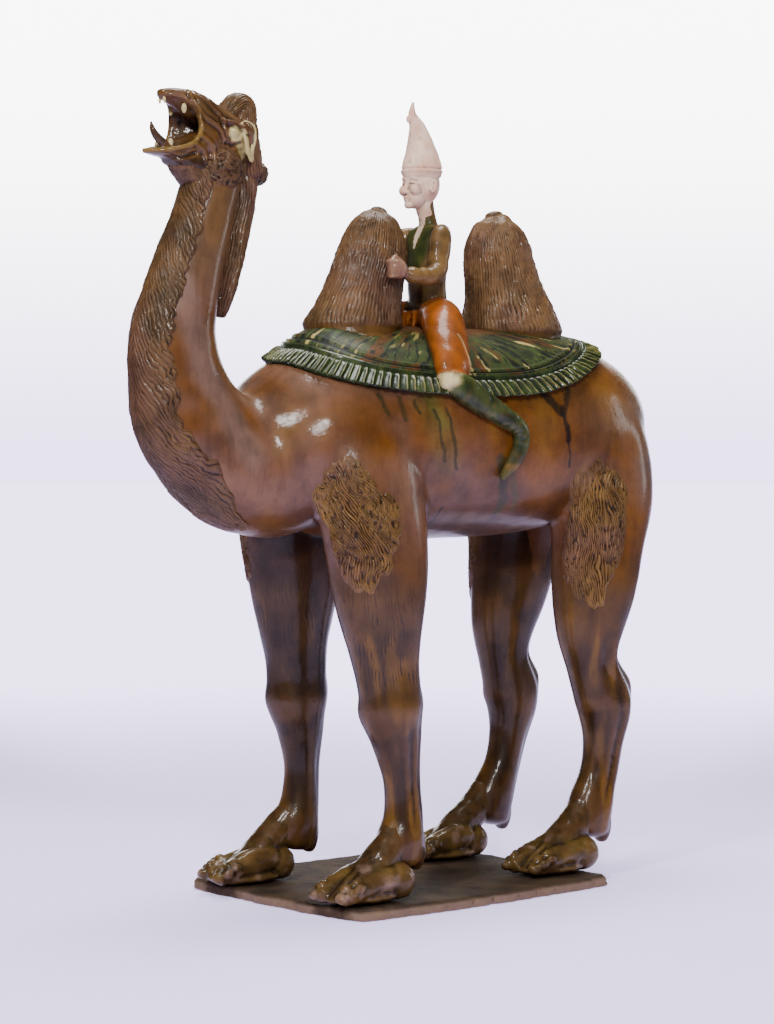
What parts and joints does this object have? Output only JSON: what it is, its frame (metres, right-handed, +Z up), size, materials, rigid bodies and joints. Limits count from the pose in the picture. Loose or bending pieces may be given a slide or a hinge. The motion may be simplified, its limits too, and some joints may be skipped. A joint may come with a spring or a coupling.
{
  "type": "sancai camel figure",
  "caption": "Standing two-humped camel in moulded, lead-glazed earthenware on a thin slab, head raised and mouth open, with a small rider between the humps.",
  "frame": {"origin": "on the slab's underside, below the camel's middle plane, between its fore and hind legs", "axes": "+Z up; the camel faces -X; its left flank faces -Y; the slab's underside is at z = 0"},
  "size_m": [0.6752, 0.292, 0.8437],
  "materials": {
    "bare_clay": "unglazed, matt, worn at the edges",
    "amber_glaze": "glossy amber-brown lead glaze, streaked and pooled",
    "hair_glaze": "glossy brown glaze, broken pale over carved hair",
    "cloth_glaze": "glossy green, amber and cream glazes run together",
    "rider_glaze": "glossy amber, green and cream glazes",
    "pale_clay": "unglazed pale clay, matt"
  },
  "bodies": {
    "root": {"base_slab": "bare_clay", "camel": "amber_glaze", "rider": "rider_glaze"}
  },
  "joints": []
}
